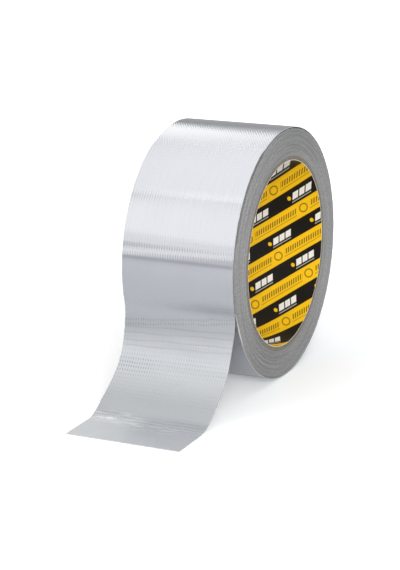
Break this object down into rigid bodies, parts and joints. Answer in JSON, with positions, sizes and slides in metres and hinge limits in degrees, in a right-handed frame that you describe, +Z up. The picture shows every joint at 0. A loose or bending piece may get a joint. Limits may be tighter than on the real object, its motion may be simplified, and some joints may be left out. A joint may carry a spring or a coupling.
{
  "type": "duct tape roll",
  "caption": "Roll of silver cloth-backed tape on a spiral-wound board core, with its free end pulled down and laid flat on the surface.",
  "frame": {"origin": "centre of the core's bore at the middle of the tape's width", "axes": "+Y along the bore; +Z up as the roll stands on its rim; the free end leaves towards -X"},
  "size_m": [0.1516, 0.048, 0.1033],
  "materials": {
    "printed_paper": "printed in yellow and black slanted bands, satin",
    "core_board": "raw kraft board",
    "tape_edge": "cut edges of wound tape",
    "adhesive": "tacky, dull sheen",
    "cloth_scrim": "open cotton-polyester weave",
    "silver_film": "silver pigmented polyethylene, satin, with the weave showing through"
  },
  "bodies": {
    "roll": {"printed_liner": "printed_paper", "core_ply_1": "core_board", "core_ply_2": "core_board", "core_ply_3": "core_board", "core_ply_4": "core_board", "wound_laps": "tape_edge"},
    "outer_lap": {"outer_lap_adhesive": "adhesive", "outer_lap_scrim": "cloth_scrim", "outer_lap_film": "silver_film"},
    "free_end_1": {"free_end_1_adhesive": "adhesive", "free_end_1_scrim": "cloth_scrim", "free_end_1_film": "silver_film"},
    "free_end_2": {"free_end_2_adhesive": "adhesive", "free_end_2_scrim": "cloth_scrim", "free_end_2_film": "silver_film"},
    "free_end_3": {"free_end_3_adhesive": "adhesive", "free_end_3_scrim": "cloth_scrim", "free_end_3_film": "silver_film"},
    "free_end_4": {"free_end_4_adhesive": "adhesive", "free_end_4_scrim": "cloth_scrim", "free_end_4_film": "silver_film"},
    "free_end_5": {"free_end_5_adhesive": "adhesive", "free_end_5_scrim": "cloth_scrim", "free_end_5_film": "silver_film"},
    "free_end_6": {"free_end_6_adhesive": "adhesive", "free_end_6_scrim": "cloth_scrim", "free_end_6_film": "silver_film"}
  },
  "joints": [
    {"name": "unwind", "type": "hinge", "parent": "roll", "child": "outer_lap", "pos_m": [0, 0, 0], "axis": [0, 1, 0], "continuous": true},
    {"name": "lift", "type": "hinge", "parent": "outer_lap", "child": "free_end_1", "pos_m": [-0.05021, 0, -0.01252], "axis": [0, 1, 0], "range_deg": [0, 24]},
    {"name": "lift_follow_2", "type": "hinge", "parent": "free_end_1", "child": "free_end_2", "pos_m": [-0.05034, 0, -0.02451], "axis": [0, 1, 0], "range_deg": [0, 24]},
    {"name": "lift_follow_3", "type": "hinge", "parent": "free_end_2", "child": "free_end_3", "pos_m": [-0.0563, 0, -0.03491], "axis": [0, 1, 0], "range_deg": [0, 24]},
    {"name": "curl", "type": "hinge", "parent": "free_end_3", "child": "free_end_4", "pos_m": [-0.06593, 0, -0.04239], "axis": [0, 1, 0], "range_deg": [0, 20]},
    {"name": "curl_follow_5", "type": "hinge", "parent": "free_end_4", "child": "free_end_5", "pos_m": [-0.07582, 0, -0.04954], "axis": [0, 1, 0], "range_deg": [0, 20]},
    {"name": "curl_follow_6", "type": "hinge", "parent": "free_end_5", "child": "free_end_6", "pos_m": [-0.08764, 0, -0.05134], "axis": [0, 1, 0], "range_deg": [0, 20]}
  ],
  "couplings": [
    {"joint": "lift_follow_2", "follows": "lift", "ratio": 1},
    {"joint": "lift_follow_3", "follows": "lift", "ratio": 1},
    {"joint": "curl_follow_5", "follows": "curl", "ratio": 1},
    {"joint": "curl_follow_6", "follows": "curl", "ratio": 1}
  ]
}
